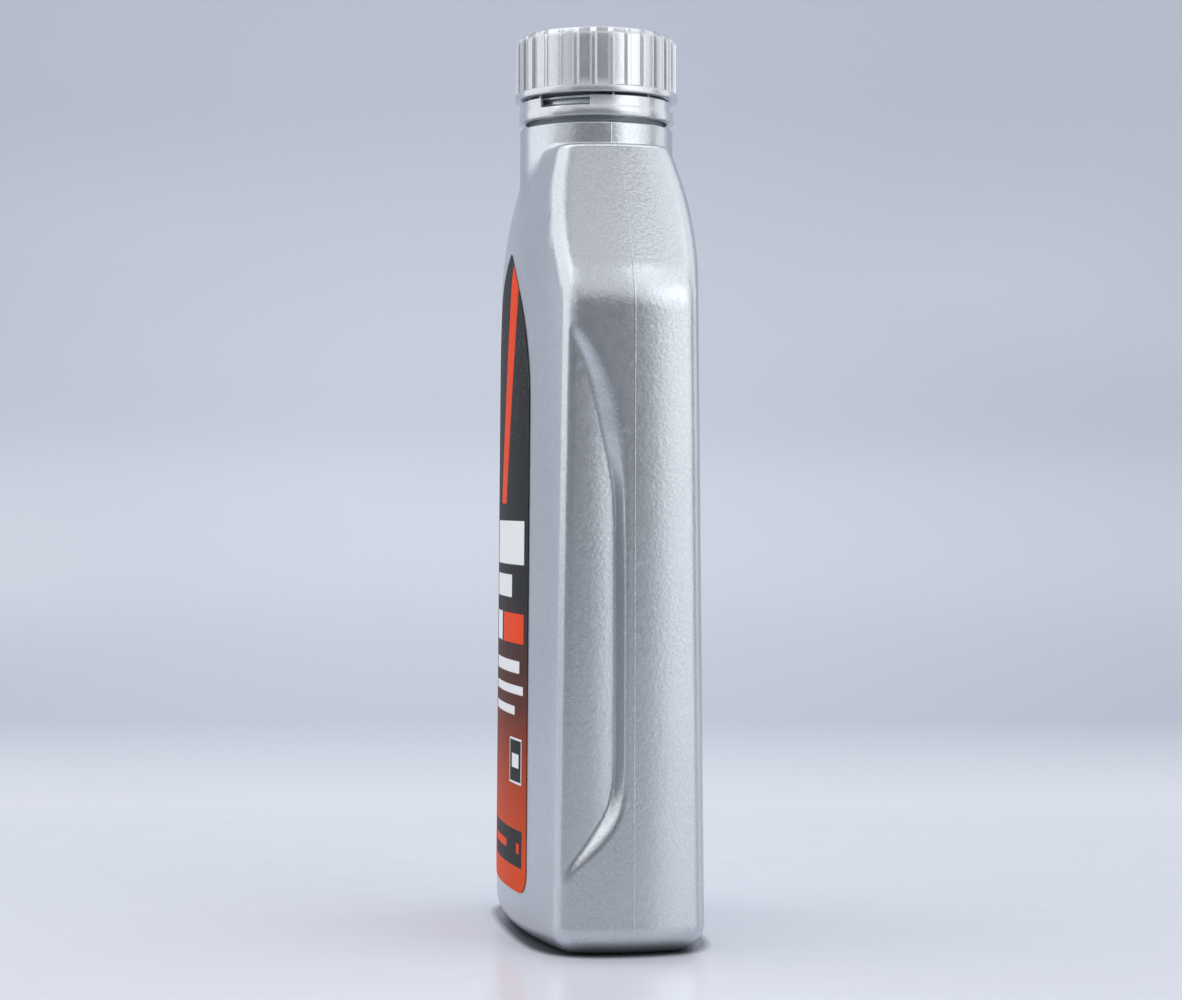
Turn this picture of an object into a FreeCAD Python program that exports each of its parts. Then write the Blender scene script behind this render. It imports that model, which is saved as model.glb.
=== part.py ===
"""One-litre motor oil bottle with a ribbed screw cap, in millimetres.

The frame has +Z up, with the origin on the floor under the middle of the bottle. X runs
across the wide faces, from one narrow side to the other. The front face, which carries the
label, looks along -Y.
"""
import FreeCAD, Part
import math
import os
import Sketcher
from FreeCAD import Placement, Rotation, Vector

# Driving sizes. Each is written once here and bound by its name everywhere else. One given
# in the names of others follows from them.
SIZES = [
    # blown body
    ("base_half_width", 54.5),
    ("knee_half_width", 57.0),
    ("ledge_half_width", 33.5),
    ("base_half_depth", 27.4),
    ("knee_half_depth", 25.8),
    ("face_radius", 190.0),
    ("shoulder_bow", 120.0),
    ("knee_height", 184.0),
    ("shoulder_height", 41.5),
    ("ledge_height", "knee_height + shoulder_height"),
    ("knee_radius", 25.0),
    ("crease_radius", 7.5),
    ("ledge_radius", 5.0),
    ("base_radius", 8.0),
    ("wall", 1.0),
    ("push_up", 1.6),
    ("foot_width", 13.0),
    # grip recess
    ("floor_radius", 42.0),
    ("floor_drop", 3.25),
    ("floor_setback", 14.2),
    ("recess_edge", 2.3),
    ("recess_reach", 24.0),
    ("recess_low", 50.0),
    ("recess_below_knee", 56.0),
    ("recess_high", "knee_height - recess_below_knee"),
    ("recess_low_radius", 36.0),
    ("recess_high_radius", 76.0),
    ("root_depth", 6.0),
    ("root_edge", 5.6),
    ("root_rise", 2.0),
    ("root_fall", 16.0),
    ("root_low", "recess_low + root_rise"),
    ("root_high", "recess_high - root_fall"),
    ("root_low_radius", 24.0),
    ("root_high_radius", 95.0),
    # neck
    ("collar_radius", 22.4),
    ("collar_height", 7.5),
    ("collar_top", "ledge_height + collar_height"),
    ("finish_radius", 19.4),
    ("bore_radius", 17.3),
    ("finish_height", 24.2),
    ("rim_height", "collar_top + finish_height"),
    ("bead_radius", 20.9),
    ("bead_height", 2.0),
    ("neck_sink", 29.5),
    ("neck_root", "ledge_height - neck_sink"),
    # tamper band
    ("band_gap", 1.8),
    ("band_height", 5.8),
    ("band_radius", 22.65),
    ("band_step", 0.35),
    ("band_wall", 1.2),
    ("band_lip", 0.8),
    ("window_depth", 2.9),
    ("window_angle", 41.0),
    ("window_azimuth", -36.0),
    ("window_count", 3),
    ("slit", 0.8),
    # cap
    ("flange_radius", 23.8),
    ("flange_height", 1.9),
    ("skirt_radius", 22.5),
    ("rib_radius", 23.4),
    ("rib_width", 1.3),
    ("rib_count", 28),
    ("cap_bore", 21.0),
    ("liner_height", 1.2),
    ("cap_plate", 1.7),
    ("cap_dome", 1.9),
    ("rim_round", 1.4),
    ("edge_break", 0.6),
    # label film
    ("film", 0.12),
    ("glue_line", 0.05),
    ("label_half_width", 27.0),
    ("label_low", 13.5),
    ("label_below_knee", 32.0),
    ("label_above_knee", 12.5),
    ("label_shoulder", "knee_height - label_below_knee"),
    ("label_peak", "knee_height + label_above_knee"),
    ("label_corner", 6.0),
    # contents
    ("headspace", 11.5),
    ("fill_height", "ledge_height - headspace"),
    ("oil_gap", 0.3),
    ("running_gap", 0.2),
]

doc = FreeCAD.newDocument("oil_bottle")
sheet = doc.addObject("Spreadsheet::Sheet", "sizes")
for row, (alias, value) in enumerate(SIZES, start=1):
    sheet.set("A%d" % row, alias)
    sheet.set("B%d" % row, "=" + value if isinstance(value, str) else str(value))
    sheet.setAlias("B%d" % row, alias)
doc.recompute()
ALIASES = sorted((alias for alias, value in SIZES), key=len, reverse=True)


def bound(words):
    """Turn an expression in the sizes' names into one that the document understands."""
    text = " %s " % words
    for alias in ALIASES:
        pieces = text.split(alias)
        joined = pieces[0]
        for piece in pieces[1:]:
            whole = not (joined[-1:].isalnum() or joined[-1:] in "_.") and not (
                piece[:1].isalnum() or piece[:1] == "_")
            joined += ("sizes." if whole else "") + alias + piece
        text = joined
    return text.strip()


def size(words):
    """Value of an expression in the sizes' names."""
    return float(sheet.evalExpression(bound(words)))


def tie(thing, prop, words):
    """Bind a property to an expression in the sizes' names."""
    thing.setExpression(prop, bound(words))


def draw(sketch, corners):
    """Draw a closed outline. Each corner is (x, y) in the sizes' names, and a third item makes
    the stretch that leaves it an arc of that radius, which a minus sign bows to the left.
    """
    spots = [Vector(size(c[0]), size(c[1]), 0) for c in corners]
    total = len(corners)
    ends = []
    for i, corner in enumerate(corners):
        start, end = spots[i], spots[(i + 1) % total]
        if len(corner) < 3:
            sketch.addGeometry(Part.LineSegment(start, end), False)
            ends.append((1, 2))
            continue
        radius = size(corner[2])
        chord = end.sub(start)
        depth = math.sqrt(radius ** 2 - (chord.Length / 2) ** 2)
        inward = Vector(-chord.y, chord.x, 0).normalize() * math.copysign(depth, radius)
        centre = (start + end) * 0.5 + inward
        angles = [math.atan2(p.y - centre.y, p.x - centre.x) for p in (start, end)]
        ends.append((1, 2) if radius > 0 else (2, 1))
        if radius < 0:
            angles.reverse()
        circle = Part.Circle(centre, Vector(0, 0, 1), abs(radius))
        sketch.addGeometry(Part.ArcOfCircle(circle, angles[0], angles[1]), False)
    for i in range(total):
        j = (i + 1) % total
        sketch.addConstraint(Sketcher.Constraint("Coincident", i, ends[i][1], j, ends[j][0]))
    for i, corner in enumerate(corners):
        for kind, words, value in (("DistanceX", corner[0], spots[i].x),
                                   ("DistanceY", corner[1], spots[i].y)):
            spot = sketch.addConstraint(
                Sketcher.Constraint(kind, -1, 1, i, ends[i][0], value))
            tie(sketch, "Constraints[%d]" % spot, words)
        if len(corner) > 2:
            spot = sketch.addConstraint(
                Sketcher.Constraint("Radius", i, abs(size(corner[2]))))
            tie(sketch, "Constraints[%d]" % spot, "abs(%s)" % corner[2])


def plane(body, role):
    """One of a body's own origin planes or axes."""
    return next(f for f in body.Origin.OriginFeatures if f.Role == role)


def sketch_on(body, role, name, corners, shift=None):
    """Sketch on an origin plane. shift moves the sketch along its own x."""
    sketch = body.newObject("Sketcher::SketchObject", name)
    sketch.AttachmentSupport = [(plane(body, role), "")]
    sketch.MapMode = "FlatFace"
    if shift:
        tie(sketch, "AttachmentOffset.Base.x", shift)
    draw(sketch, corners)
    doc.recompute()
    return sketch


def turn(body, kind, sketch):
    """Revolve a sketch a full turn about its own upright axis."""
    spun = body.newObject("PartDesign::" + kind, kind.lower())
    spun.Profile = sketch
    spun.ReferenceAxis = (sketch, ["V_Axis"])
    spun.Angle = 360
    doc.recompute()
    return spun


def edges_of(feature, test):
    """Names of a feature's edges that pass a test on their box."""
    names = []
    for i, edge in enumerate(feature.Shape.Edges, start=1):
        if test(edge.BoundBox, edge):
            names.append("Edge%d" % i)
    return names


def round_off(body, feature, test, words):
    """Fillet the edges of a feature that pass a test."""
    rounded = body.newObject("PartDesign::Fillet", "fillet")
    rounded.Base = (feature, edges_of(feature, test))
    tie(rounded, "Radius", words)
    doc.recompute()
    return rounded


def vessel(name, inset):
    """The blown body's closed form without its neck, drawn in by inset all round.

    A turned envelope gives the narrow sides and the shoulders. Two bowed cuts about upright
    axes far behind give the wide faces, and the creases where they meet are rounded.
    """
    body = doc.addObject("PartDesign::Body", name)
    low = inset
    high = "ledge_height - (%s)" % inset
    profile = sketch_on(body, "XZ_Plane", name + "_profile", [
        ("0", low),
        ("base_half_width - (%s)" % inset, low),
        ("knee_half_width - (%s)" % inset, "knee_height"),
        ("ledge_half_width - (%s)" % inset, high),
        ("0", high)])
    envelope = turn(body, "Revolution", profile)
    knee = size("knee_height")
    envelope = round_off(
        body, envelope, lambda box, e: abs(box.ZMin - knee) + abs(box.ZMax - knee) < 0.01,
        "knee_radius")
    face = "(face_radius - (%s))" % inset
    clear = "(face_radius + knee_half_width)"
    lean = "((base_half_depth - knee_half_depth) / knee_height)"
    slant = "sqrt(1 + %s^2)" % lean
    crown = "(ledge_height + base_radius)"
    bow = "(shoulder_bow - (%s))" % inset
    reach = "(%s - knee_height + %s * %s / %s)" % (crown, bow, lean, slant)
    drop = "(%s / %s - sqrt(%s^2 - %s^2))" % (bow, slant, bow, reach)
    cut = sketch_on(body, "YZ_Plane", name + "_face", [
        ("-%s" % clear, "-base_radius"),
        ("-(%s + %s * (knee_height + base_radius))" % (face, lean), "-base_radius"),
        ("-%s" % face, "knee_height", "-%s" % bow),
        ("-(%s - %s)" % (face, drop), crown),
        ("-%s" % clear, crown)], shift="face_radius - knee_half_depth")
    groove = turn(body, "Groove", cut)
    mirror = body.newObject("PartDesign::Mirrored", name + "_back")
    mirror.Originals = [groove]
    mirror.MirrorPlane = (plane(body, "XZ_Plane"), [""])
    body.Tip = mirror
    doc.recompute()
    part_way = size("bore_radius") / 2
    crease = round_off(
        body, mirror,
        lambda box, e: box.ZLength > 1 and min(abs(box.YMin), abs(box.YMax)) > part_way
        and min(abs(box.XMin), abs(box.XMax)) > part_way / 2,
        "crease_radius - (%s)" % inset)
    top = size(high)
    ledge = round_off(
        body, crease, lambda box, e: box.ZMin > top - 0.01, "ledge_radius - (%s)" % inset)
    floor = size(low)
    round_off(
        body, ledge, lambda box, e: box.ZMax < floor + 0.01, "base_radius - (%s)" % inset)
    return body


def cylinder(name, radius, height, foot, angle=360):
    """Upright cylinder on the frame's axis, with its foot at a given height."""
    drum = doc.addObject("Part::Cylinder", name)
    tie(drum, "Radius", radius)
    tie(drum, "Height", height)
    tie(drum, "Placement.Base.z", foot)
    drum.Angle = angle
    doc.recompute()
    return drum


def join(kind, name, *parts):
    """Boolean of two or more objects, by name of its kind."""
    made = doc.addObject("Part::" + kind, name)
    if kind == "Cut":
        made.Base, made.Tool = parts
    else:
        made.Shapes = list(parts)
    doc.recompute()
    return made


def recess(name, grow):
    """Tools that press the grip recess into both narrow sides, grown by grow all round.

    A loft from the recess's edge at the skin to a shorter outline deep inside gives the wall,
    steep in the middle and drawn out at both ends. The drum taken out of it leaves a floor
    that carries on from the front crease and falls towards the foot of the wall.
    """
    rings = []
    for level, depth in (("recess", "0"), ("root", "root_depth")):
        outline = doc.addObject("Sketcher::SketchObject", "%s_%s" % (name, level))
        outline.Placement = Placement(
            Vector(), Rotation(Vector(0, 1, 0), Vector(0, 0, 1), Vector(1, 0, 0), "ZXY"))
        tie(outline, "Placement.Base.x", "knee_half_width - " + depth)
        edge = "(%s_edge - (%s))" % (level, grow)
        ends = {}
        for side in ("low", "high"):
            radius = "(%s_%s_radius + (%s))" % (level, side, grow)
            inner = "(recess_reach - %s_edge - %s_%s_radius)" % (level, level, side)
            ends[side] = (radius, "sqrt(%s^2 - %s^2)" % (radius, inner))
        draw(outline, [
            ("-recess_reach", "%s_low - %s" % (level, ends["low"][1]), ends["low"][0]),
            ("-" + edge, level + "_low"),
            ("-" + edge, level + "_high", ends["high"][0]),
            ("-recess_reach", "%s_high + %s" % (level, ends["high"][1]))])
        rings.append(outline)
    wedge = doc.addObject("Part::Loft", name + "_wedge")
    wedge.Sections = rings
    wedge.Solid = True
    wedge.Ruled = True
    drum = cylinder(name + "_floor", "floor_radius - (%s)" % grow, "ledge_height", "0")
    tie(drum, "Placement.Base.x", "knee_half_width - floor_drop - floor_radius")
    tie(drum, "Placement.Base.y", "-floor_setback")
    press = join("Cut", name + "_press", wedge, drum)
    lean = math.degrees(math.atan2(
        size("knee_half_width - base_half_width"), size("knee_height")))
    turn_point = Vector(size("knee_half_width"), 0, size("knee_height"))
    press.Placement = Placement(Vector(), Rotation(Vector(0, 1, 0), lean), turn_point)
    twin = doc.addObject("Part::Mirroring", name + "_twin")
    twin.Source = press
    twin.Normal = (1, 0, 0)
    doc.recompute()
    return join("MultiFuse", name + "_tools", press, twin)


def foot_panel(name, grow):
    """Shallow panel pushed up into the base inside the ring that the bottle stands on."""
    height = "2 * (push_up + (%s))" % grow
    foot = "-(push_up + (%s))" % grow
    sides = cylinder(name + "_ends", "base_half_width - foot_width + (%s)" % grow, height, foot)
    parts = [sides]
    for side in (1, -1):
        face = cylinder(
            "%s_face" % name, "face_radius - foot_width + (%s)" % grow, height, foot)
        tie(face, "Placement.Base.y", "%d * (face_radius - base_half_depth)" % side)
        parts.append(face)
    return join("MultiCommon", name, *parts)


def blown(name, inset):
    """The blown form drawn in by inset, with its grip recesses and pushed-up base."""
    form = vessel(name + "_form", inset)
    tools = join("MultiFuse", name + "_tools", recess(name + "_recess", inset),
                 foot_panel(name + "_panel", inset))
    return form, tools


def neck(body):
    """Collar, thread land and retaining bead of the neck, turned about the axis."""
    bead = "collar_top + band_gap + band_wall + (band_lip + running_gap) / 2"
    sketch = sketch_on(body, "XZ_Plane", "neck_profile", [
        ("0", "neck_root"),
        ("collar_radius", "neck_root"),
        ("collar_radius", "collar_top - edge_break"),
        ("collar_radius - edge_break", "collar_top"),
        ("finish_radius", "collar_top"),
        ("finish_radius", bead),
        ("bead_radius", bead),
        ("bead_radius", bead + " + bead_height / 2"),
        ("finish_radius", bead + " + bead_height"),
        ("finish_radius", "rim_height - edge_break"),
        ("finish_radius - edge_break", "rim_height"),
        ("0", "rim_height")])
    return turn(body, "Revolution", sketch)


def make_bottle():
    """Blown shell: the outer form with its neck, less the cavity and the bore."""
    form, tools = blown("outer", "0")
    neck(form)
    shell = join("Cut", "outer_pressed", form, tools)
    inside, inner_tools = blown("cavity", "wall")
    hollow = join("Cut", "cavity_pressed", inside, inner_tools)
    bore = cylinder("bore", "bore_radius", "rim_height", "neck_root")
    throat = cylinder("throat", "collar_radius - 2 * wall", "collar_top - 2 * wall - neck_root",
                      "neck_root")
    void = join("MultiFuse", "void", hollow, bore, throat)
    return join("Cut", "bottle", shell, void)


def make_band():
    """Tamper band: a lipped ring with a stepped upper edge that windows are cut into."""
    low = "collar_top + band_gap"
    top = low + " + band_height"
    body = doc.addObject("PartDesign::Body", "band_ring")
    bore = "band_radius - band_wall"
    sketch = sketch_on(body, "XZ_Plane", "band_profile", [
        (bore + " - band_lip", low),
        ("band_radius - edge_break / 2", low),
        ("band_radius", low + " + edge_break / 2"),
        ("band_radius", top + " - window_depth"),
        ("band_radius - band_step", top + " - window_depth"),
        ("band_radius - band_step", top),
        (bore, top),
        (bore, low + " + band_wall + band_lip"),
        (bore + " - band_lip", low + " + band_wall")])
    turn(body, "Revolution", sketch)
    windows = []
    count = int(size("window_count"))
    for i in range(count):
        window = cylinder("window", "2 * band_radius", "2 * window_depth", top + " - window_depth")
        tie(window, "Angle", "window_angle")
        start = size("window_azimuth - window_angle / 2") + 360.0 * i / count
        window.Placement.Rotation = Rotation(Vector(0, 0, 1), start)
        windows.append(window)
    return join("Cut", "tamper_band", body, join("MultiFuse", "windows", *windows))


def make_cap():
    """Screw cap: flanged skirt, thin upright ribs and a slightly domed top."""
    low = "collar_top + band_gap + band_height + slit"
    plate = "rim_height + liner_height"
    rim = plate + " + cap_plate"
    body = doc.addObject("PartDesign::Body", "cap")
    dome = "(skirt_radius - rim_round)"
    sketch = sketch_on(body, "XZ_Plane", "cap_profile", [
        ("cap_bore", low),
        ("flange_radius - edge_break / 2", low),
        ("flange_radius", low + " + edge_break / 2"),
        ("flange_radius", low + " + flange_height - edge_break / 2"),
        ("flange_radius - edge_break / 2", low + " + flange_height"),
        ("skirt_radius", low + " + flange_height"),
        ("skirt_radius", rim + " - rim_round"),
        (dome, rim, "(%s^2 + cap_dome^2) / (2 * cap_dome)" % dome),
        ("0", rim + " + cap_dome"),
        ("0", plate),
        ("cap_bore", plate)])
    turn(body, "Revolution", sketch)
    root = "skirt_radius - edge_break"
    rib_sketch = sketch_on(body, "XZ_Plane", "rib_profile", [
        (root, low + " + flange_height / 2"),
        ("rib_radius", low + " + flange_height / 2"),
        ("rib_radius", rim + " - rim_round - (rib_radius - skirt_radius)"),
        (root, rim + " - rim_round / 2")])
    rib = body.newObject("PartDesign::Pad", "rib")
    rib.Profile = rib_sketch
    rib.Midplane = True
    tie(rib, "Length", "rib_width")
    doc.recompute()
    ring = body.newObject("PartDesign::PolarPattern", "ribs")
    ring.Originals = [rib]
    ring.Axis = (plane(body, "Z_Axis"), [""])
    ring.Angle = 360
    tie(ring, "Occurrences", "rib_count")
    body.Tip = ring
    doc.recompute()
    return body


def make_label():
    """Printed film on the front face, a glue line away, with rounded feet and a pointed arch."""
    outline = doc.addObject("Sketcher::SketchObject", "label_outline")
    outline.Placement = Placement(
        Vector(), Rotation(Vector(1, 0, 0), Vector(0, 0, 1), Vector(0, -1, 0), "ZXY"))
    rise = "(label_peak - label_shoulder)"
    arch = "(label_half_width^2 + %s^2) / (2 * label_half_width)" % rise
    draw(outline, [
        ("-label_half_width + label_corner", "label_low"),
        ("label_half_width - label_corner", "label_low", "label_corner"),
        ("label_half_width", "label_low + label_corner"),
        ("label_half_width", "label_shoulder", arch),
        ("0", "label_peak", arch),
        ("-label_half_width", "label_shoulder"),
        ("-label_half_width", "label_low + label_corner", "label_corner")])
    prism = doc.addObject("Part::Extrusion", "label_prism")
    prism.Base = outline
    prism.DirMode = "Custom"
    prism.Dir = Vector(0, -1, 0)
    prism.Solid = True
    tie(prism, "LengthFwd", "2 * base_half_depth")
    skin = vessel("film_form", "-(glue_line + film)")
    backing = vessel("glue_form", "-glue_line")
    patch = join("MultiCommon", "film_patch", skin, prism)
    return join("Cut", "front_label", patch, backing)


def make_oil():
    """Contents up to the fill line, a hair clear of the walls."""
    form, tools = blown("fill", "wall + oil_gap")
    top = cylinder("headspace", "2 * knee_half_width", "ledge_height", "fill_height")
    return join("Cut", "oil", form, join("MultiFuse", "fill_tools", tools, top))


nodes = {
    "bottle": make_bottle(),
    "tamper_band": make_band(),
    "cap": make_cap(),
    "cap_liner": cylinder("cap_liner", "cap_bore - running_gap", "liner_height", "rim_height"),
    "front_label": make_label(),
    "oil": make_oil(),
}
for name, node in nodes.items():
    node.Label = name
doc.recompute()

for thing in doc.Objects:
    if "Invalid" in thing.State or "Error" in thing.State:
        raise RuntimeError("%s failed" % thing.Name)
for name, node in nodes.items():
    if node.Shape.isNull() or not node.Shape.isValid():
        raise RuntimeError("%s has no valid shape" % name)

os.makedirs("parts", exist_ok=True)
for name, node in nodes.items():
    node.Shape.exportStep("parts/%s.step" % name)
    print(name, len(node.Shape.Solids), round(node.Shape.Volume), "mm3")
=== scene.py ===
import bpy
import math
import numpy as np
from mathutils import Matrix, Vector


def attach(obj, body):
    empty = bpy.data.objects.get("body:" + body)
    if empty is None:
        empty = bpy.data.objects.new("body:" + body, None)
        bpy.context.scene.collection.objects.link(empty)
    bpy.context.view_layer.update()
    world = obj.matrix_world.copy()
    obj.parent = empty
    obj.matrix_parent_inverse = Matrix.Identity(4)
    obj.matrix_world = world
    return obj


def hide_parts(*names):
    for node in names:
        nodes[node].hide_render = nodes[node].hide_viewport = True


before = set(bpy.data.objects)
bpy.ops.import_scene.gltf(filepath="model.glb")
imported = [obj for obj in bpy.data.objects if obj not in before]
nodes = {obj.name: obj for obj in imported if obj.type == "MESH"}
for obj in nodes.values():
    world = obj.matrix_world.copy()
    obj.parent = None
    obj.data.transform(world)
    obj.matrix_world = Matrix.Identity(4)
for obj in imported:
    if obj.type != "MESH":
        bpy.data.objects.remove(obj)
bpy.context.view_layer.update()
MM = 0.001

# Sizes in millimetres.
BASE_X, KNEE_X, LEDGE_X = 54.5, 57.0, 33.5
BASE_Y, KNEE_Y = 27.4, 25.8
FACE_R, BOW_R = 190.0, 120.0
KNEE_Z, LEDGE_Z = 184.0, 225.5
KNEE_R, CREASE_R, LEDGE_R, BASE_R = 25.0, 7.5, 1.4, 8.0
WALL, FILL_Z, OIL_INSET = 1.0, 214.0, 1.35
COLLAR_R, COLLAR_Z = 22.4, 233.0
FINISH_R, BORE_R, RIM_Z = 19.4, 17.3, 257.2
BEAD_R, BEAD_Z = 20.9, 236.5
PITCH, THREAD_PROUD, THREAD_HALF = 4.0, 1.15, 1.15
RIDGE, RIDGE_HALF = 0.035, 0.17
HAIR = 0.02
SHOULDER_COS = 0.871
PUSH_UP, FOOT_WIDTH, FOOT_EASE = 1.6, 11.0, 4.0
RECESS_EDGE_R, RECESS_FOOT_R, COLLAR_EDGE_R, COLLAR_BLEND_R, NECK_ROOT_Z = 0.8, 0.45, 0.4, 1.6, 150.0
RAY, FAN_RAY, FAN_Z, BASE_FAN_Z = 90.0, 60.0, 205.0, 14.0
BAND_R, BAND_Z, BAND_TALL, BAND_STEP, BAND_WALL, BAND_LIP = 22.65, 234.8, 5.8, 0.35, 1.2, 0.8
WINDOW_DEEP, WINDOW_ANGLE, WINDOW_AZIMUTH, WINDOWS = 2.9, 41.0, -36.0, 3
CAP_Z, FLANGE_R, FLANGE_TALL = 241.4, 23.8, 1.9
SKIRT_R, RIB_R, RIBS, CAP_BORE, PLATE_Z, CAP_RIM = 22.5, 23.4, 28, 21.0, 258.4, 260.1
DOME, RIM_ROUND = 1.9, 1.4
BRIDGES, BRIDGE_AZIMUTH = 12, 2.0


# The blown body as a field of distance.
def soft_max(a, b, r):
    """Intersection of two distance fields with a rounded edge of radius r."""
    u, v = np.maximum(a + r, 0.0), np.maximum(b + r, 0.0)
    return np.minimum(np.maximum(a, b), -r) + np.sqrt(u * u + v * v)


def round_edge(a, b, r, c):
    """Intersection with an exact fillet, where c is the cosine between the two normals."""
    u, v = a + r, b + r
    wedge = (u > c * v) & (v > c * u) & ((u > 0) | (v > 0))
    arc = np.sqrt(np.maximum(u * u + v * v - 2 * u * v * c, 0) / (1 - c * c)) - r
    return np.where(wedge, arc, np.maximum(a, b))


def soft_min(a, b, r):
    """Union of two distance fields with a filleted corner of radius r."""
    return -soft_max(-a, -b, r)


def knee_profile():
    """Half width of the turned envelope by height, with the knee rounded."""
    a = np.array([BASE_X, 0.0])
    b = np.array([KNEE_X, KNEE_Z])
    c = np.array([LEDGE_X, LEDGE_Z])
    u, v = (a - b) / np.linalg.norm(a - b), (c - b) / np.linalg.norm(c - b)
    half = math.acos(float(np.dot(u, v))) / 2
    reach = KNEE_R / math.tan(half)
    p, q = b + u * reach, b + v * reach
    mid = (u + v) / np.linalg.norm(u + v)
    centre = b + mid * (KNEE_R / math.sin(half))
    a0 = math.atan2(p[1] - centre[1], p[0] - centre[0])
    a1 = math.atan2(q[1] - centre[1], q[0] - centre[0])
    arc = [centre + KNEE_R * np.array([math.cos(t), math.sin(t)]) for t in np.linspace(a0, a1, 40)]
    line = np.array([a - (b - a) * 0.2] + arc + [c + v * 60])
    return line[:, 1], line[:, 0]


PROFILE_Z, PROFILE_X = knee_profile()


def half_depth(z):
    """Half depth at the middle of the wide faces, by height."""
    lean = (BASE_Y - KNEE_Y) / KNEE_Z
    slant = math.sqrt(1 + lean * lean)
    cx, cz = KNEE_Y - BOW_R / slant, KNEE_Z - BOW_R * lean / slant
    bow = cx + np.sqrt(np.maximum(BOW_R ** 2 - (z - cz) ** 2, 1.0))
    return np.where(z < KNEE_Z, BASE_Y - lean * z, bow)


def smooth_line(points, spread):
    """A curve through (height, value) points, eased over a given spread."""
    z = np.arange(-60.0, 300.0, 0.5)
    zs, vs = zip(*sorted(points))
    value = np.interp(z, zs, vs)
    width = int(4 * spread / 0.5)
    kernel = np.exp(-0.5 * (np.arange(-width, width + 1) * 0.5 / spread) ** 2)
    kernel /= kernel.sum()
    padded = np.pad(value, width, mode="edge")
    return z, np.convolve(padded, kernel, mode="valid")


# Outer edge of the grip recess, and how far its wall runs in for each millimetre of depth.
EDGE_Z, EDGE_Y = smooth_line(
    [(-20, -56), (12, -27.5), (18.6, -20.6), (24.3, -16.4), (29.2, -10.6), (34.9, -5.7), (40, -3.3),
     (45, -2.4), (53, -2.3), (90, -2.3), (126, -2.5), (138, -3.2), (149.5, -5.2), (158, -7.9),
     (165.8, -11.6), (175.4, -18.9), (184, -27), (220, -66)], 1.6)
RUN_Z, RUN = smooth_line(
    [(10, 2.0), (31, 1.9), (38, 1.0), (48, 0.6), (56, 0.52), (115, 0.52), (128, 0.62),
     (140, 1.1), (150, 1.6), (166, 1.8), (200, 1.9)], 3.0)
FLOOR_R, FLOOR_X, FLOOR_Y = 42.0, 53.75, 14.2


def recess(x, y, z, side):
    """Field of the grip recess on one narrow side: below zero where the wall stays."""
    width = np.interp(z, PROFILE_Z, PROFILE_X)
    top = BASE_X + (KNEE_X - BASE_X) * z / KNEE_Z
    px = x * side
    drop = FLOOR_X - (KNEE_X - top) - FLOOR_R
    floor = np.sqrt((px - drop) ** 2 + (y + FLOOR_Y) ** 2) - FLOOR_R
    depth = np.maximum(width - np.sqrt(x * x + y * y), -2.0)
    edge = np.interp(z, EDGE_Z, EDGE_Y)
    run = np.interp(z, RUN_Z, RUN)
    climb = (np.interp(z + 0.5, EDGE_Z, EDGE_Y) - np.interp(z - 0.5, EDGE_Z, EDGE_Y))
    wall = (edge - run * depth - y) / np.sqrt(1 + climb ** 2 + run ** 2)
    pressed = soft_min(floor, wall, RECESS_FOOT_R)
    return np.where(px > 0, pressed, -9.0)


def body_field(p):
    """Signed distance, near enough, from the outer skin below the neck's sealing land."""
    x, y, z = p[:, 0], p[:, 1], p[:, 2]
    rho = np.sqrt(x * x + y * y)
    slope = np.where(z > KNEE_Z, SHOULDER_COS, 1.0)
    envelope = (rho - np.interp(z, PROFILE_Z, PROFILE_X)) * slope
    deep = half_depth(z)
    far = np.abs(y) + FACE_R - KNEE_Y
    reach = np.sqrt(x * x + far ** 2)
    face = reach - (FACE_R + deep - KNEE_Y)
    cosine = np.clip((x * x + np.abs(y) * far) / np.maximum(rho * reach, 1e-6) * slope, -0.9, 0.9)
    body = round_edge(envelope, face, CREASE_R, cosine)
    edge_gap = np.minimum(-envelope, -face)
    lift = PUSH_UP * np.clip((edge_gap - FOOT_WIDTH) / FOOT_EASE, 0, 1)
    body = soft_max(body, lift - z, BASE_R)
    body = soft_max(body, z - LEDGE_Z, LEDGE_R)
    for side in (1.0, -1.0):
        body = soft_max(body, recess(x, y, z, side), RECESS_EDGE_R)
    neck = soft_max(rho - COLLAR_R, np.maximum(z - COLLAR_Z, NECK_ROOT_Z - z), COLLAR_EDGE_R)
    body = soft_min(body, neck, COLLAR_BLEND_R)
    ridge = RIDGE * np.exp(-(y / RIDGE_HALF) ** 2)
    return body + HAIR + RIDGE - ridge


def hit(origins, targets, inset=0.0):
    """Points inset under the skin, on rays that leave the inside towards the targets."""
    low = np.zeros(len(origins))
    high = np.full(len(origins), 1.6)
    step = targets - origins
    for _ in range(34):
        mid = (low + high) / 2
        inside = body_field(origins + step * mid[:, None]) < -inset
        low = np.where(inside, mid, low)
        high = np.where(inside, high, mid)
    return origins + step * ((low + high) / 2)[:, None]


def field_normals(points):
    grad = np.zeros_like(points)
    for axis in range(3):
        nudge = np.zeros(3)
        nudge[axis] = 0.05
        grad[:, axis] = body_field(points + nudge) - body_field(points - nudge)
    return grad / np.maximum(np.linalg.norm(grad, axis=1), 1e-9)[:, None]


def round_angles():
    """Directions round the axis, close on the narrow sides and closest at the parting line."""
    quarter = [0.0, 0.11, 0.22, 0.34, 0.5, 0.7, 0.95]
    while quarter[-1] < 24.0:
        quarter.append(quarter[-1] + 0.47)
    angles = [math.asin(v / KNEE_X) for v in quarter]
    angles = np.concatenate([angles, np.linspace(angles[-1], math.pi / 2, 18)[1:]])
    full = np.concatenate([angles, math.pi - angles[::-1][1:]])
    return np.concatenate([full, -full[::-1][1:-1]])


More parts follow.
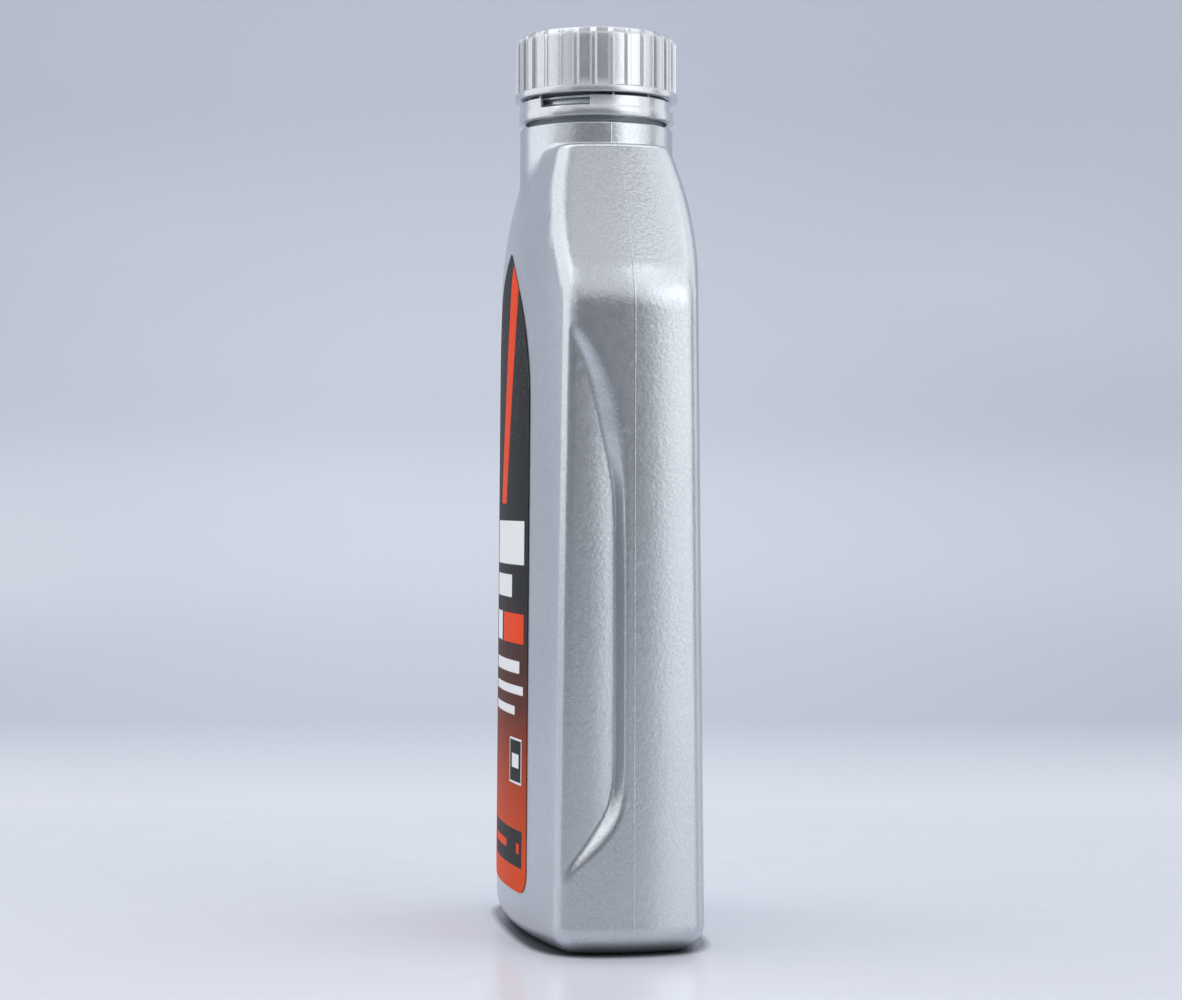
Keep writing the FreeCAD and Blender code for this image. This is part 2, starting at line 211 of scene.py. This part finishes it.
def thread(theta, z, shift, low, high):
    """How far a thread stands from its wall, at angles theta and one height."""
    turns = (z - BEAD_Z) / PITCH - theta / (2 * math.pi) + shift
    near = np.abs(turns - np.round(turns)) * PITCH
    live = np.clip(high - z, 0, 1) * np.clip(z - low, 0, 1)
    return THREAD_PROUD * live * np.clip((THREAD_HALF - near) / 0.7, 0, 1)


def skin_mesh():
    theta = round_angles()
    n = len(theta)
    c, s = np.cos(theta), np.sin(theta)
    rows, normals = [], []

    def cast(oz, radius, height, inset=0.0):
        origins = np.stack([np.zeros(n), np.zeros(n), np.full(n, oz)], axis=1)
        targets = np.stack([radius * c, radius * s, np.broadcast_to(height, (n,))], axis=1)
        points = hit(origins, targets, inset)
        rows.append(points)
        normals.append(field_normals(points) * (-1.0 if inset else 1.0))

    heights = np.full(n, BASE_R)
    ring = hit(np.tile([0.0, 0.0, BASE_R], (n, 1)), np.stack([RAY * c, RAY * s, heights], axis=1))
    foot = np.sqrt(ring[:, 0] ** 2 + ring[:, 1] ** 2)
    for share in (0.02, 0.3, 0.5, 0.62, 0.72, 0.82, 0.92):
        cast(BASE_FAN_Z, (foot - BASE_R) * share, 0.0)
    for turn in np.linspace(0.0, math.pi / 2, 12)[:-1]:
        cast(BASE_FAN_Z, foot - BASE_R + BASE_R * math.sin(turn), BASE_R - BASE_R * math.cos(turn))
    for z in np.linspace(BASE_R, FAN_Z, 154):
        cast(z, np.full(n, RAY), z)
    top = math.atan2(COLLAR_Z - FAN_Z - 0.5, COLLAR_R)
    for lift in np.linspace(0.0, top, 52)[1:]:
        cast(FAN_Z, np.full(n, FAN_RAY * math.cos(lift)), FAN_Z + FAN_RAY * math.sin(lift))
    # neck finish above the collar, turned, with its thread
    land = [(COLLAR_R - 0.6, COLLAR_Z), (FINISH_R + 0.3, COLLAR_Z), (FINISH_R, COLLAR_Z + 0.3),
            (FINISH_R, BEAD_Z - 0.2), (FINISH_R + 0.2, BEAD_Z), (BEAD_R, BEAD_Z), (BEAD_R, BEAD_Z + 0.9),
            (FINISH_R + 0.1, BEAD_Z + 2.0)]
    land += [(FINISH_R, z) for z in np.linspace(BEAD_Z + 2.3, RIM_Z - 0.7, 44)]
    land += [(FINISH_R - 0.2, RIM_Z - 0.2), (FINISH_R - 0.6, RIM_Z), (BORE_R + 0.4, RIM_Z),
             (BORE_R, RIM_Z - 0.4), (BORE_R, COLLAR_Z), (BORE_R, LEDGE_Z - 0.5)]
    for r, z in land:
        radius = np.full(n, r)
        if r == FINISH_R and z > BEAD_Z + 2:
            radius = radius + thread(theta, z, 0.0, BEAD_Z + 3.0, RIM_Z - 1.0)
        rows.append(np.stack([radius * c, radius * s, np.full(n, z)], axis=1))
        normals.append(None)
    # inner wall, from the throat down to the middle of the base
    for lift in np.linspace(0.75, 0.0, 14):
        cast(FAN_Z, np.full(n, FAN_RAY * math.cos(lift)), FAN_Z + FAN_RAY * math.sin(lift), WALL)
    for z in np.linspace(FAN_Z - 4.0, 12.0, 34):
        cast(z, np.full(n, RAY), z, WALL)
    for share in (0.96, 0.88, 0.7, 0.4, 0.02):
        cast(BASE_FAN_Z, foot * share, 0.0, WALL)
    points = np.concatenate(rows) * MM
    count = len(rows)
    faces = []
    for i in range(count - 1):
        a = i * n
        for j in range(n):
            k = (j + 1) % n
            faces.append((a + j, a + k, a + n + k, a + n + j))
    faces.append(tuple(range(n))[::-1])
    faces.append(tuple(range((count - 1) * n, count * n)))
    mesh = bpy.data.meshes.new("bottle_skin")
    mesh.from_pydata(points.tolist(), [], faces)
    mesh.validate()
    mesh.shade_smooth()
    auto = np.zeros(len(mesh.vertices) * 3)
    mesh.vertices.foreach_get("normal", auto)
    auto = auto.reshape(-1, 3)
    for i, rowset in enumerate(normals):
        if rowset is not None:
            auto[i * n:(i + 1) * n] = rowset
    mesh.normals_split_custom_set_from_vertices(auto.tolist())
    return mesh


def oil_mesh():
    """The contents, a hair clear of the inner wall, up to a level top."""
    theta = np.linspace(0, 2 * math.pi, 160, endpoint=False)
    n = len(theta)
    origins = np.zeros((n, 3))
    rows = [(0.5, 3.2)]
    for z in np.concatenate([[3.4, 4.2, 5.6, 7.5], np.linspace(10.0, FILL_Z, 70)]):
        origins[:, 2] = z
        out = origins + RAY * np.stack([np.cos(theta), np.sin(theta), np.zeros(n)], axis=1)
        spot = hit(origins, out, OIL_INSET)
        rows.append((np.hypot(spot[:, 0], spot[:, 1]), z))
    rows.append((0.5, FILL_Z))
    return turned_mesh("oil_fill", rows, theta)


def turned_mesh(name, rows, theta):
    """Closed mesh from rows of radii and heights, one row to the next, round the axis."""
    n = len(theta)
    points = []
    for radius, height in rows:
        radius = np.broadcast_to(radius, (n,))
        height = np.broadcast_to(height, (n,))
        points.append(np.stack([radius * np.cos(theta), radius * np.sin(theta), height], axis=1))
    faces = []
    for i in range(len(rows) - 1):
        for j in range(n):
            k = (j + 1) % n
            faces.append((i * n + j, i * n + k, (i + 1) * n + k, (i + 1) * n + j))
    faces.append(tuple(range(n))[::-1])
    faces.append(tuple(range((len(rows) - 1) * n, len(rows) * n)))
    mesh = bpy.data.meshes.new(name)
    mesh.from_pydata((np.concatenate(points) * MM).tolist(), [], faces)
    mesh.validate()
    mesh.shade_smooth()
    return mesh


def rounded(corners, radius, steps=4):
    """Open outline of (r, z) corners with each inner corner rounded to a radius."""
    line = [corners[0]]
    for before, at, after in zip(corners, corners[1:], corners[2:]):
        p, q, r = (np.array(v, float) for v in (before, at, after))
        u, v = (p - q) / np.linalg.norm(p - q), (r - q) / np.linalg.norm(r - q)
        half = math.acos(float(np.clip(np.dot(u, v), -1, 1))) / 2
        reach = min(radius / math.tan(half), 0.45 * np.linalg.norm(p - q), 0.45 * np.linalg.norm(r - q))
        for t in np.linspace(0, 1, steps + 1):
            blend = (1 - t) ** 2 * (q + u * reach) + 2 * t * (1 - t) * q + t * t * (q + v * reach)
            line.append(tuple(blend))
    line.append(corners[-1])
    return line


def cap_mesh():
    """Screw cap: domed top, soft upright ribs over the skirt, flange, bore and thread."""
    half = [0.0, 0.28, 0.42, 0.52, 0.66, 0.82, 0.96, 1.12, 1.9, 2.52]
    pitch = 2 * math.pi / RIBS
    arc = np.array(sorted({v * s for v in half for s in (-1, 1)})[:-1]) / 2.52 * pitch / 2
    theta = np.concatenate([i * pitch + arc for i in range(RIBS)])
    offset = np.abs(np.tile(arc, RIBS)) * SKIRT_R
    rib = np.clip((0.95 - offset) / 0.45, 0, 1)
    rib = rib * rib * (3 - 2 * rib)
    ball = ((SKIRT_R - RIM_ROUND) ** 2 + DOME ** 2) / (2 * DOME)
    rows = []
    for r in np.concatenate([[0.4], np.linspace(3, SKIRT_R - RIM_ROUND - 0.4, 10)]):
        rows.append((r, CAP_RIM + DOME - ball + math.sqrt(ball ** 2 - r ** 2)))
    inside, below = SKIRT_R - RIM_ROUND, CAP_RIM - RIM_ROUND
    shoulder = rounded([(inside - 0.3, CAP_RIM + 0.06), (inside + 0.2, CAP_RIM - 0.02),
                        (SKIRT_R, below - 0.3), (SKIRT_R, below - 2.0)], 1.3, 9)
    flange_top = CAP_Z + FLANGE_TALL
    skirt = [(SKIRT_R, z) for z in np.linspace(CAP_RIM - 4.6, flange_top + 0.6, 7)]
    for r, z in shoulder + skirt:
        rise = np.clip((CAP_RIM - 0.75 - z) / 1.5, 0, 1)
        rise = math.sin(rise * math.pi / 2)
        rows.append((r + (RIB_R - SKIRT_R) * rib * rise, z))
    edge = rounded([(SKIRT_R + 0.05, flange_top + 0.3), (SKIRT_R + 0.3, flange_top), (FLANGE_R, flange_top),
                    (FLANGE_R, CAP_Z), (CAP_BORE, CAP_Z), (CAP_BORE, CAP_Z + 1.0)], 0.35)
    for r, z in edge:
        rows.append((np.maximum(r, SKIRT_R + (RIB_R - SKIRT_R) * rib) if z > flange_top - 0.01 else r, z))
    for z in np.linspace(CAP_Z + 1.2, PLATE_Z - 1.2, 46):
        rows.append((CAP_BORE - thread(theta, z, 0.5, CAP_Z + 1.2, PLATE_Z - 1.5), z))
    rows += [(CAP_BORE, PLATE_Z - 0.1), (CAP_BORE - 0.1, PLATE_Z), (0.4, PLATE_Z)]
    return turned_mesh("screw_cap", rows[::-1], theta)


def band_mesh():
    """Tamper band: lipped ring with a stepped upper edge, windows and torn bridge stubs."""
    top, low, inner = BAND_Z + BAND_TALL, BAND_Z, BAND_R - BAND_WALL
    sill = top - WINDOW_DEEP
    marks = []
    for i in range(WINDOWS):
        start = math.radians(WINDOW_AZIMUTH - WINDOW_ANGLE / 2 + 360.0 * i / WINDOWS)
        marks.append((start, start + math.radians(WINDOW_ANGLE)))
    stubs = [math.radians(BRIDGE_AZIMUTH + 360.0 * i / BRIDGES) for i in range(BRIDGES)]
    fine = 0.06 / BAND_R
    theta = set(np.round(np.arange(0, 2 * math.pi, math.radians(2.0)), 6))
    for a, b in marks:
        theta |= {round(v % (2 * math.pi), 6) for v in (a - fine, a + fine, b - fine, b + fine)}
    for s in stubs:
        theta |= {round((s + k * 0.28 / BAND_R) % (2 * math.pi), 6) for k in (-1.2, -0.8, 0, 0.8, 1.2)}
    theta = np.array(sorted(theta))

    def within(angle, a, b):
        return (angle - a) % (2 * math.pi) < (b - a)

    open_ = np.array([any(within(t, a, b) for a, b in marks) for t in theta])
    stub = np.array([min(abs((t - s + math.pi) % (2 * math.pi) - math.pi) for s in stubs) < 0.29 / BAND_R
                     for t in theta])
    upper = BAND_R - BAND_STEP
    crest = np.where(open_, sill, top)
    tip = np.where(stub & ~open_, crest + 0.6, crest)
    rows = [(inner - BAND_LIP, low + 0.12), (inner - BAND_LIP + 0.12, low), (BAND_R - 0.25, low),
            (BAND_R - 0.07, low + 0.08), (BAND_R, low + 0.28), (BAND_R, sill - 0.12),
            (BAND_R - 0.04, sill - 0.03), (BAND_R - 0.12, sill), (upper + 0.02, sill + 0.01),
            (upper, np.minimum(sill + 0.12, crest)), (upper, crest - np.where(open_, 0, 0.12)),
            (upper - 0.12, crest), (upper - 0.25, tip), (inner + 0.35, tip), (inner + 0.12, crest),
            (inner, crest - 0.12), (inner, low + BAND_WALL + BAND_LIP), (inner - BAND_LIP, low + BAND_WALL),
            (inner - BAND_LIP, low + 0.12)]
    n = len(theta)
    points = []
    for r, z in rows[:-1]:
        r, z = np.broadcast_to(r, (n,)), np.broadcast_to(z, (n,))
        points.append(np.stack([r * np.cos(theta), r * np.sin(theta), z], axis=1))
    faces = []
    count = len(rows) - 1
    for i in range(count):
        up = (i + 1) % count
        for j in range(n):
            k = (j + 1) % n
            faces.append((i * n + j, i * n + k, up * n + k, up * n + j))
    mesh = bpy.data.meshes.new("band_ring")
    mesh.from_pydata((np.concatenate(points) * MM).tolist(), [], faces)
    mesh.validate()
    mesh.shade_smooth()
    mesh.set_sharp_from_angle(angle=math.radians(38))
    return mesh


def add(name, mesh, material):
    piece = bpy.data.objects.new(name, mesh)
    bpy.context.scene.collection.objects.link(piece)
    mesh.materials.append(material)
    return piece


# Materials.
def new_material(name):
    material = bpy.data.materials.new(name)
    material.use_nodes = True
    tree = material.node_tree
    tree.nodes.clear()
    out = tree.nodes.new("ShaderNodeOutputMaterial")
    shader = tree.nodes.new("ShaderNodeBsdfPrincipled")
    tree.links.new(shader.outputs["BSDF"], out.inputs["Surface"])
    return material, tree, shader


def linear(rgb):
    return tuple((v / 12.92 if v <= 0.04045 else ((v + 0.055) / 1.055) ** 2.4)
                 for v in (x / 255.0 for x in rgb)) + (1.0,)


def noise(tree, coords, scale, detail=2.0):
    node = tree.nodes.new("ShaderNodeTexNoise")
    node.inputs["Scale"].default_value = scale
    node.inputs["Detail"].default_value = detail
    tree.links.new(coords, node.inputs["Vector"])
    return node.outputs["Fac"]


def object_coords(tree):
    return tree.nodes.new("ShaderNodeTexCoord").outputs["Object"]


def math_node(tree, kind, a, b=None, c=None):
    node = tree.nodes.new("ShaderNodeMath")
    node.operation = kind
    for socket, value in zip(node.inputs, (a, b, c)):
        if value is None:
            continue
        if isinstance(value, (int, float)):
            socket.default_value = value
        else:
            tree.links.new(value, socket)
    return node.outputs[0]


def mix_colour(tree, factor, a, b):
    node = tree.nodes.new("ShaderNodeMix")
    node.data_type = "RGBA"
    for socket, value in ((node.inputs[0], factor), (node.inputs[6], a), (node.inputs[7], b)):
        if isinstance(value, (tuple, float, int)):
            socket.default_value = value
        else:
            tree.links.new(value, socket)
    return node.outputs[2]


def ramp(tree, value, low, high):
    node = tree.nodes.new("ShaderNodeMapRange")
    node.inputs["From Min"].default_value = low
    node.inputs["From Max"].default_value = high
    tree.links.new(value, node.inputs["Value"])
    return node.outputs["Result"]


def silver(name, colour, metallic, roughness, peel):
    """Flake-filled plastic: faint cloudiness, an orange peel and fine grain in the gloss."""
    material, tree, shader = new_material(name)
    at = object_coords(tree)
    broad = noise(tree, at, 34.0, 3.0)
    dark = tuple(v * 0.94 for v in colour[:3]) + (1.0,)
    base = mix_colour(tree, ramp(tree, broad, 0.35, 0.65), dark, colour)
    flake = ramp(tree, noise(tree, at, 2300.0, 0.0), 0.3, 0.7)
    pale = tuple(min(1.0, v * 1.12) for v in colour[:3]) + (1.0,)
    base = mix_colour(tree, flake, base, pale)
    tree.links.new(base, shader.inputs["Base Color"])
    shader.inputs["Metallic"].default_value = metallic
    wear = ramp(tree, noise(tree, at, 420.0, 2.0), 0.3, 0.7)
    rough = math_node(tree, "MULTIPLY_ADD", wear, 0.05, roughness - 0.025)
    tree.links.new(rough, shader.inputs["Roughness"])
    bump = tree.nodes.new("ShaderNodeBump")
    bump.inputs["Strength"].default_value = peel
    bump.inputs["Distance"].default_value = 0.0001
    height = math_node(tree, "MULTIPLY_ADD", noise(tree, at, 820.0, 1.0), 1.0,
                       math_node(tree, "MULTIPLY", noise(tree, at, 1700.0, 1.0), 0.45))
    tree.links.new(height, bump.inputs["Height"])
    tree.links.new(bump.outputs["Normal"], shader.inputs["Normal"])
    return material


SILVER = silver("blown_silver", (0.53, 0.56, 0.595, 1.0), 0.85, 0.3, 0.5)
CAP_SILVER = silver("moulded_silver", (0.56, 0.58, 0.61, 1.0), 0.66, 0.24, 0.04)


# Bars on the label: left, right, foot and top in millimetres, and the ink.
BARS = [
    (-21.0, 23.0, 106.5, 119.0, "white"), (-21.0, 9.0, 97.0, 103.5, "white"),
    (-4.0, 23.0, 84.0, 92.5, "bright"), (-21.0, -7.0, 84.0, 92.5, "white"),
    (-21.0, 19.0, 75.5, 79.0, "white"), (-21.0, 23.0, 69.5, 72.0, "white"),
    (-21.0, 14.0, 63.5, 66.0, "white"), (8.0, 22.0, 44.0, 57.0, "white"),
    (8.6, 21.4, 44.6, 56.4, "black"), (11.0, 19.0, 48.5, 52.5, "white"),
    (-21.0, 23.0, 20.5, 31.0, "black"), (-18.0, 4.0, 24.6, 27.0, "bright"),
    (17.0, 20.0, 24.3, 27.3, "bright"),
]


def box_mask(tree, x, z, low_x, high_x, low_z, high_z, soft=0.00008):
    """1 inside an upright rectangle on the label, in metres, with a fine soft edge."""
    left = ramp(tree, x, low_x - soft, low_x + soft)
    right = ramp(tree, x, high_x + soft, high_x - soft)
    low = ramp(tree, z, low_z - soft, low_z + soft)
    high = ramp(tree, z, high_z + soft, high_z - soft)
    return math_node(tree, "MULTIPLY", math_node(tree, "MULTIPLY", left, right),
                     math_node(tree, "MULTIPLY", low, high))


def label_material():
    """Printed film: black over brown over orange, with bars where words would stand."""
    material, tree, shader = new_material("printed_film")
    at = object_coords(tree)
    split = tree.nodes.new("ShaderNodeSeparateXYZ")
    tree.links.new(at, split.inputs[0])
    x, z = split.outputs[0], split.outputs[2]
    black, brown, orange = linear((34, 35, 36)), linear((104, 44, 18)), linear((222, 74, 10))
    white, bright = linear((238, 239, 239)), linear((238, 70, 8))
    colour = mix_colour(tree, ramp(tree, z, 0.098, 0.052), black, brown)
    colour = mix_colour(tree, ramp(tree, z, 0.066, 0.022), colour, orange)
    speck = ramp(tree, noise(tree, at, 1500.0, 1.0), 0.60, 0.70)
    fade = math_node(tree, "MULTIPLY", speck, ramp(tree, z, 0.118, 0.165))
    colour = mix_colour(tree, math_node(tree, "MULTIPLY", fade, 0.35), colour, linear((150, 152, 155)))
    sweep = math_node(tree, "MULTIPLY_ADD", math_node(tree, "SUBTRACT", z, 0.180), 0.25, 0.003)
    stripe = math_node(tree, "MULTIPLY", ramp(tree, math_node(tree, "SUBTRACT", x, sweep), -0.0001, 0.0001),
                       ramp(tree, math_node(tree, "SUBTRACT", x, sweep), 0.0102, 0.0100))
    stripe = math_node(tree, "MULTIPLY", stripe, ramp(tree, z, 0.1239, 0.1241))
    colour = mix_colour(tree, stripe, colour, bright)
    for low_x, high_x, low_z, high_z, tint in BARS:
        tint = {"white": white, "bright": bright, "black": black}[tint]
        mask = box_mask(tree, x, z, low_x * MM, high_x * MM, low_z * MM, high_z * MM)
        colour = mix_colour(tree, mask, colour, tint)
    tree.links.new(colour, shader.inputs["Base Color"])
    rough = ramp(tree, noise(tree, at, 500.0, 2.0), 0.0, 1.0)
    tree.links.new(math_node(tree, "MULTIPLY_ADD", rough, 0.08, 0.46), shader.inputs["Roughness"])
    shader.inputs["Specular IOR Level"].default_value = 0.08
    return material


LABEL = label_material()


def plain(name, colour, roughness, scale, amount):
    material, tree, shader = new_material(name)
    at = object_coords(tree)
    dark = tuple(v * (1 - amount) for v in colour[:3]) + (1.0,)
    tone = mix_colour(tree, noise(tree, at, scale, 3.0), dark, colour)
    tree.links.new(tone, shader.inputs["Base Color"])
    shader.inputs["Roughness"].default_value = roughness
    return material


LINER = plain("liner_foam", (0.85, 0.85, 0.83, 1.0), 0.6, 900.0, 0.15)
OIL = plain("amber_oil", (0.45, 0.2, 0.03, 1.0), 0.15, 60.0, 0.1)

for name, material in (("cap_liner", LINER), ("front_label", LABEL)):
    node = nodes[name]
    node.data.materials.clear()
    node.data.materials.append(material)

skin = add("bottle_skin", skin_mesh(), SILVER)
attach(skin, "bottle")
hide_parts("bottle")

oil = add("oil_fill", oil_mesh(), OIL)
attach(oil, "bottle")
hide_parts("oil")

cap = add("screw_cap", cap_mesh(), CAP_SILVER)
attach(cap, "cap")
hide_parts("cap")

band = add("band_ring", band_mesh(), CAP_SILVER)
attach(band, "bottle")
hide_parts("tamper_band")

# Camera.
TURN = math.radians(10.8)
DISTANCE, EYE, AIM_Z = 0.783, 0.125, 0.13
FOCAL_PIXELS, FRAME_PIXELS, OFF_CENTRE_PIXELS = 2671.0, 1182.0, 5.3
camera_data = bpy.data.cameras.new("camera")
camera_data.sensor_width = 36.0
camera_data.lens = camera_data.sensor_width * FOCAL_PIXELS / FRAME_PIXELS
camera = bpy.data.objects.new("camera", camera_data)
bpy.context.scene.collection.objects.link(camera)
camera.location = (DISTANCE * math.cos(TURN), -DISTANCE * math.sin(TURN), EYE)
aim = math.atan2(math.sin(TURN), -math.cos(TURN)) + math.atan(OFF_CENTRE_PIXELS / FOCAL_PIXELS)
camera.rotation_euler = (math.pi / 2, 0.0, aim - math.pi / 2)
camera_data.clip_start, camera_data.clip_end = 0.05, 60.0
bpy.context.scene.camera = camera


# Studio.
def studio_floor():
    """Pale floor that sweeps up into a backdrop behind the bottle."""
    back, cove, reach, side_reach = 0.55, 0.32, 4.0, 5.0
    line = [(-reach, 0.0), (back - cove, 0.0)]
    for turn in np.linspace(0, math.pi / 2, 24)[1:]:
        line.append((back - cove + cove * math.sin(turn), cove - cove * math.cos(turn)))
    line.append((back, reach))
    away = np.array([-math.cos(TURN), math.sin(TURN)])
    across = np.array([math.sin(TURN), math.cos(TURN)])
    points, faces = [], []
    for d, z in line:
        for side in (-side_reach, side_reach):
            spot = away * d + across * side
            points.append((spot[0], spot[1], z))
    for i in range(len(line) - 1):
        faces.append((2 * i, 2 * i + 1, 2 * i + 3, 2 * i + 2))
    mesh = bpy.data.meshes.new("studio_floor")
    mesh.from_pydata(points, [], faces)
    mesh.shade_smooth()
    material, tree, shader = new_material("studio_paper")
    at = object_coords(tree)
    # painted light: a painted pool of light on the backdrop behind the bottle, painted shade towards the
    # backdrop's sides, and the floor painted lighter than the backdrop
    middle = tree.nodes.new("ShaderNodeVectorMath")
    middle.operation = "DISTANCE"
    painted_glow_centre = away * back - across * 0.07
    middle.inputs[1].default_value = (painted_glow_centre[0], painted_glow_centre[1], AIM_Z)
    tree.links.new(at, middle.inputs[0])
    painted_glow = ramp(tree, middle.outputs["Value"], 0.55, 0.08)
    wall = mix_colour(tree, painted_glow, linear((169, 174, 187)), linear((201, 206, 218)))
    split = tree.nodes.new("ShaderNodeSeparateXYZ")
    tree.links.new(at, split.inputs[0])
    level = ramp(tree, split.outputs[2], 0.03, 0.004)
    tone = mix_colour(tree, level, wall, linear((222, 225, 234)))
    # painted contact shadow: the paper is painted dark where the bottle stands on it, and the base rounding
    # reflects this painted shadow
    flat = tree.nodes.new("ShaderNodeVectorMath")
    flat.operation = "MULTIPLY"
    flat.inputs[1].default_value = (1.0, 1.0, 0.0)
    tree.links.new(at, flat.inputs[0])
    radius = tree.nodes.new("ShaderNodeVectorMath")
    radius.operation = "LENGTH"
    tree.links.new(flat.outputs["Vector"], radius.inputs[0])
    ends = math_node(tree, "DIVIDE", radius.outputs["Value"], BASE_X * MM)
    sides = math_node(tree, "DIVIDE", math_node(tree, "ABSOLUTE", split.outputs[1]), BASE_Y * MM)
    both = math_node(tree, "ADD", math_node(tree, "POWER", ends, 5.0), math_node(tree, "POWER", sides, 5.0))
    painted_contact_shadow = ramp(tree, math_node(tree, "POWER", both, 0.2), 1.04, 0.95)
    painted_contact_shadow = math_node(tree, "MULTIPLY", painted_contact_shadow, ramp(tree, split.outputs[2], 0.002, 0.001))
    tone = mix_colour(tree, painted_contact_shadow, tone, linear((90, 92, 98)))
    tree.links.new(tone, shader.inputs["Base Color"])
    rough = ramp(tree, noise(tree, at, 60.0, 3.0), 0.0, 1.0)
    tree.links.new(math_node(tree, "MULTIPLY_ADD", rough, 0.06, 0.2), shader.inputs["Roughness"])
    # from behind, the backdrop is clear, so that the bottle shows from every side
    clear = tree.nodes.new("ShaderNodeBsdfTransparent")
    either = tree.nodes.new("ShaderNodeMixShader")
    tree.links.new(tree.nodes.new("ShaderNodeNewGeometry").outputs["Backfacing"], either.inputs[0])
    tree.links.new(shader.outputs["BSDF"], either.inputs[1])
    tree.links.new(clear.outputs["BSDF"], either.inputs[2])
    tree.links.new(either.outputs[0], tree.get_output_node("ALL").inputs["Surface"])
    return add("studio_floor", mesh, material)


studio_floor()


def panel(name, azimuth, elevation, distance, wide, tall, power):
    """Soft box that looks at the bottle. Azimuth is from +X towards +Y, in degrees."""
    data = bpy.data.lights.new(name, "AREA")
    data.shape = "RECTANGLE"
    data.size, data.size_y = wide, tall
    data.energy = power
    lamp = bpy.data.objects.new(name, data)
    bpy.context.scene.collection.objects.link(lamp)
    a, e = math.radians(azimuth), math.radians(elevation)
    away = np.array([math.cos(a) * math.cos(e), math.sin(a) * math.cos(e), math.sin(e)])
    spot = away * distance + np.array([0, 0, AIM_Z])
    lamp.location = spot.tolist()
    lamp.rotation_euler = Vector((-away).tolist()).to_track_quat("-Z", "Y").to_euler()
    return lamp


panel("right_box", 50.0, 26.0, 1.05, 1.05, 1.4, 6.3)
panel("right_key", 34.0, 20.0, 1.0, 0.7, 0.32, 0.6)
panel("right_back_box", 112.0, 20.0, 1.0, 0.9, 1.3, 4.2)
panel("left_box", -114.0, 29.0, 1.0, 1.6, 1.25, 8.3)
panel("front_box", -12.0, 45.0, 1.25, 1.25, 1.25, 3.8)
panel("left_key", -60.0, 28.0, 1.1, 0.6, 0.8, 1.3)
panel("back_box", 172.0, 70.0, 1.3, 1.6, 1.2, 11.0)

world = bpy.data.worlds.new("studio")
world.use_nodes = True
world.node_tree.nodes["Background"].inputs["Color"].default_value = (0.80, 0.85, 0.95, 1.0)
world.node_tree.nodes["Background"].inputs["Strength"].default_value = 0.12
bpy.context.scene.world = world
bpy.context.scene.view_settings.view_transform = "Standard"
